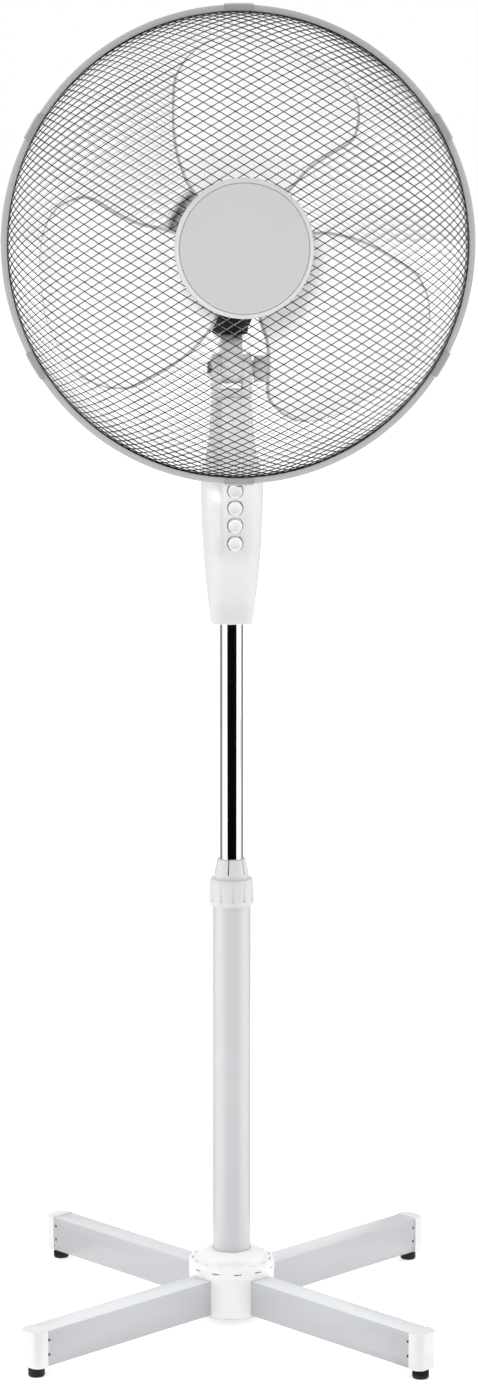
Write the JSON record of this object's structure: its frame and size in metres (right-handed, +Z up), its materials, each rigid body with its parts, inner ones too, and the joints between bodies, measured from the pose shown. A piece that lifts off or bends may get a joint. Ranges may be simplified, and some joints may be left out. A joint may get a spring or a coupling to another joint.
{
  "type": "pedestal fan",
  "caption": "Pedestal fan with a four-legged base, telescopic pole, push-button control box and a tilting, swinging head with domed guards.",
  "frame": {"origin": "on the floor under the pole's axis", "axes": "+Z up along the pole, the fan blows towards -Y, +X to the right seen from the front"},
  "size_m": [0.43, 0.4074, 1.2506],
  "materials": {
    "white_plastic": "satin moulded plastic",
    "blade_plastic": "glossy moulded plastic",
    "painted_steel": "light grey paint",
    "chromed_steel": "mirror chrome",
    "rubber": "matt rubber",
    "zinc_steel": "zinc plated",
    "cast_metal": "as cast",
    "laminated_steel": "stacked laminations",
    "copper_winding": "enamelled copper wire",
    "bronze": "sintered bronze",
    "guard_wire": "pale grey coated wire",
    "grey_plastic": "matt moulded plastic",
    "blade_nut_plastic": "matt moulded plastic",
    "gear_plastic": "natural nylon",
    "black_plastic": "matt moulded plastic",
    "capacitor_case": "plain plastic case"
  },
  "bodies": {
    "base": {"hub_body": "white_plastic", "hub_cover": "white_plastic", "leg_1": "painted_steel", "leg_2": "painted_steel", "leg_3": "painted_steel", "leg_4": "painted_steel", "end_caps": "white_plastic", "feet": "rubber", "base_plate": "zinc_steel", "plate_screws": "zinc_steel", "pole_bolt": "zinc_steel", "tube_plug": "zinc_steel", "lower_tube": "painted_steel", "collet": "white_plastic"},
    "height_nut": {"height_nut": "white_plastic"},
    "upper": {"upper_tube": "chromed_steel", "guide_bush": "white_plastic", "case_front": "white_plastic", "case_rear": "white_plastic", "case_screws": "zinc_steel", "switch_block": "black_plastic", "capacitor": "capacitor_case", "cord_gland": "grey_plastic", "neck_yoke": "white_plastic", "tilt_bolt": "zinc_steel"},
    "button_1": {"button_1": "white_plastic"},
    "button_2": {"button_2": "white_plastic"},
    "button_3": {"button_3": "white_plastic"},
    "button_4": {"button_4": "white_plastic"},
    "tilt_knob": {"tilt_knob": "grey_plastic"},
    "tilt": {"tilt_bracket": "cast_metal", "pivot_pin": "zinc_steel"},
    "head": {"motor_front": "cast_metal", "motor_rear": "cast_metal", "stator": "laminated_steel", "coils": "copper_winding", "bearings": "bronze", "gearbox": "cast_metal", "wheel_stub": "zinc_steel", "motor_housing": "white_plastic", "housing_screw": "zinc_steel", "rear_guard": "guard_wire", "guard_nut": "grey_plastic", "front_guard": "guard_wire", "badge": "grey_plastic", "trim_ring": "grey_plastic"},
    "rotor": {"rotor_core": "laminated_steel", "fan_shaft": "zinc_steel", "fan_blade": "blade_plastic", "blade_nut": "blade_nut_plastic"},
    "worm_wheel": {"worm_wheel": "gear_plastic"},
    "osc_knob": {"osc_knob": "grey_plastic"},
    "osc_crank": {"osc_crank": "zinc_steel"},
    "osc_link": {"osc_link": "zinc_steel"},
    "clip_1": {"clip_1": "grey_plastic"},
    "clip_2": {"clip_2": "grey_plastic"},
    "clip_3": {"clip_3": "grey_plastic"},
    "clip_4": {"clip_4": "grey_plastic"},
    "clip_5": {"clip_5": "grey_plastic"},
    "clip_6": {"clip_6": "grey_plastic"}
  },
  "joints": [
    {"name": "pole_height", "type": "slide", "parent": "base", "child": "upper", "axis": [0, 0, 1], "range_m": [-0.2, 0]},
    {"name": "height_nut_turn", "type": "hinge", "parent": "base", "child": "height_nut", "pos_m": [0, 0, 0.42], "axis": [0, 0, 1], "range_deg": [0, 120]},
    {"name": "tilt", "type": "hinge", "parent": "upper", "child": "tilt", "pos_m": [0, 0, 0.918], "axis": [1, 0, 0], "range_deg": [-20, 8]},
    {"name": "tilt_knob_turn", "type": "hinge", "parent": "upper", "child": "tilt_knob", "pos_m": [0.025, 0, 0.918], "axis": [1, 0, 0], "range_deg": [0, 180]},
    {"name": "swing", "type": "hinge", "parent": "tilt", "child": "head", "pos_m": [0, 0.034, 0.98], "axis": [0, 0, 1], "range_deg": [-40, 40]},
    {"name": "fan_spin", "type": "hinge", "parent": "head", "child": "rotor", "pos_m": [0, 0, 1.034], "axis": [0, -1, 0], "continuous": true},
    {"name": "worm_wheel_spin", "type": "hinge", "parent": "head", "child": "worm_wheel", "pos_m": [-0.0173, 0.042, 1.034], "axis": [0, 0, 1], "continuous": true},
    {"name": "swing_clutch", "type": "slide", "parent": "head", "child": "osc_knob", "axis": [0, 0, 1], "range_m": [-0.007, 0]},
    {"name": "crank_turn", "type": "hinge", "parent": "head", "child": "osc_crank", "pos_m": [0.011, 0.056, 0.985], "axis": [0, 0, 1], "range_deg": [-85, 85]},
    {"name": "link_turn", "type": "hinge", "parent": "osc_crank", "child": "osc_link", "pos_m": [0.004, 0.056, 0.983], "axis": [0, 0, 1], "range_deg": [-85, 85]},
    {"name": "button_1_press", "type": "slide", "parent": "upper", "child": "button_1", "axis": [0, 1, 0], "range_m": [0, 0.0034], "stiffness_N_per_m": 300, "springref_m": -0.001},
    {"name": "button_2_press", "type": "slide", "parent": "upper", "child": "button_2", "axis": [0, 1, 0], "range_m": [0, 0.0034], "stiffness_N_per_m": 300, "springref_m": -0.001},
    {"name": "button_3_press", "type": "slide", "parent": "upper", "child": "button_3", "axis": [0, 1, 0], "range_m": [0, 0.0034], "stiffness_N_per_m": 300, "springref_m": -0.001},
    {"name": "button_4_press", "type": "slide", "parent": "upper", "child": "button_4", "axis": [0, 1, 0], "range_m": [0, 0.0034], "stiffness_N_per_m": 300, "springref_m": -0.001},
    {"name": "clip_1_open", "type": "hinge", "parent": "head", "child": "clip_1", "pos_m": [0, -0.0884, 1.2492], "axis": [-1, 0, 0], "range_deg": [0, 70]},
    {"name": "clip_2_open", "type": "hinge", "parent": "head", "child": "clip_2", "pos_m": [-0.18637, -0.0884, 1.1416], "axis": [-0.5, 0, -0.866], "range_deg": [0, 70]},
    {"name": "clip_3_open", "type": "hinge", "parent": "head", "child": "clip_3", "pos_m": [-0.18637, -0.0884, 0.9264], "axis": [0.5, 0, -0.866], "range_deg": [0, 70]},
    {"name": "clip_4_open", "type": "hinge", "parent": "head", "child": "clip_4", "pos_m": [0, -0.0884, 0.8188], "axis": [1, 0, 0], "range_deg": [0, 70]},
    {"name": "clip_5_open", "type": "hinge", "parent": "head", "child": "clip_5", "pos_m": [0.18637, -0.0884, 0.9264], "axis": [0.5, 0, 0.866], "range_deg": [0, 70]},
    {"name": "clip_6_open", "type": "hinge", "parent": "head", "child": "clip_6", "pos_m": [0.18637, -0.0884, 1.1416], "axis": [-0.5, 0, 0.866], "range_deg": [0, 70]}
  ],
  "couplings": [
    {"joint": "worm_wheel_spin", "follows": "fan_spin", "ratio": 0.04},
    {"joint": "crank_turn", "follows": "swing", "ratio": 2.1},
    {"joint": "link_turn", "follows": "swing", "ratio": -2.1}
  ]
}
